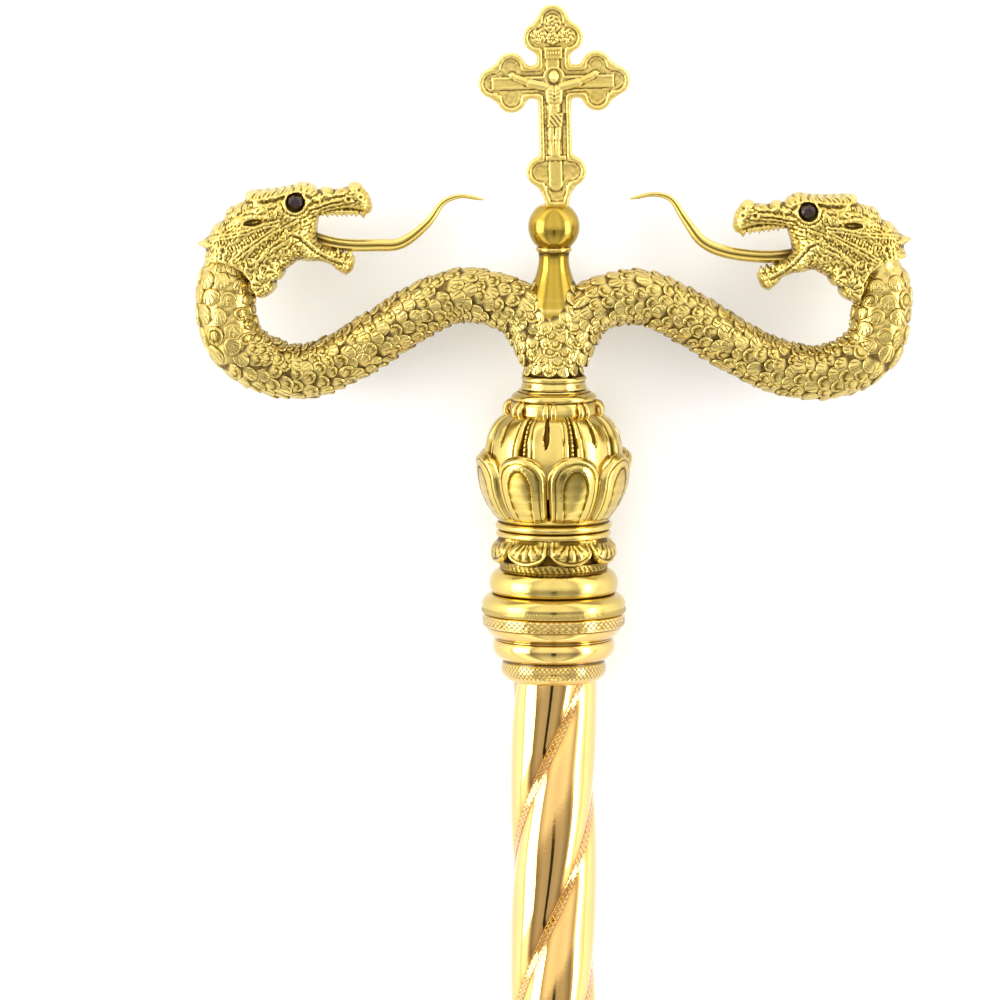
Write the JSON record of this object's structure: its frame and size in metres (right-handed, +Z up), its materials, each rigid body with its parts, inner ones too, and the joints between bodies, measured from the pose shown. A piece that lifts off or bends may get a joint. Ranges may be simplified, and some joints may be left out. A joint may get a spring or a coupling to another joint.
{
  "type": "bishop crosier",
  "caption": "Gilt brass staff with a spirally lobed shaft, turned knobs, a petalled knop, two scaled serpents that face each other and a budded cross between them.",
  "frame": {"origin": "on the floor, under the middle of the staff's length and width", "axes": "+Y along the staff towards the cross, +Z up, out of the cross's face as the staff lies on its back, +X to the right as that face is seen with the cross at the top"},
  "size_m": [0.2, 1.7557, 0.0411],
  "materials": {
    "polished_gilt": "mirror-polished gilt brass",
    "cast_gilt": "cast and chased gilt brass, darker in the hollows",
    "garnet": "polished dark garnet, nearly black"
  },
  "bodies": {
    "root": {"foot": "polished_gilt", "tube_1": "polished_gilt", "tube_2": "polished_gilt", "tube_3": "polished_gilt", "tube_4": "polished_gilt", "ferrule_1_upper": "polished_gilt", "ferrule_2_upper": "polished_gilt", "ferrule_3_upper": "polished_gilt", "ferrule_4_upper": "polished_gilt", "ferrule_1_lower": "polished_gilt", "ferrule_2_lower": "polished_gilt", "ferrule_3_lower": "polished_gilt", "knop": "cast_gilt", "serpents": "cast_gilt", "left_dragon_head": "cast_gilt", "right_dragon_head": "cast_gilt", "left_tongue": "cast_gilt", "right_tongue": "cast_gilt", "finial": "cast_gilt", "cross": "cast_gilt", "left_eye_front": "garnet", "left_eye_back": "garnet", "right_eye_front": "garnet", "right_eye_back": "garnet"}
  },
  "joints": []
}
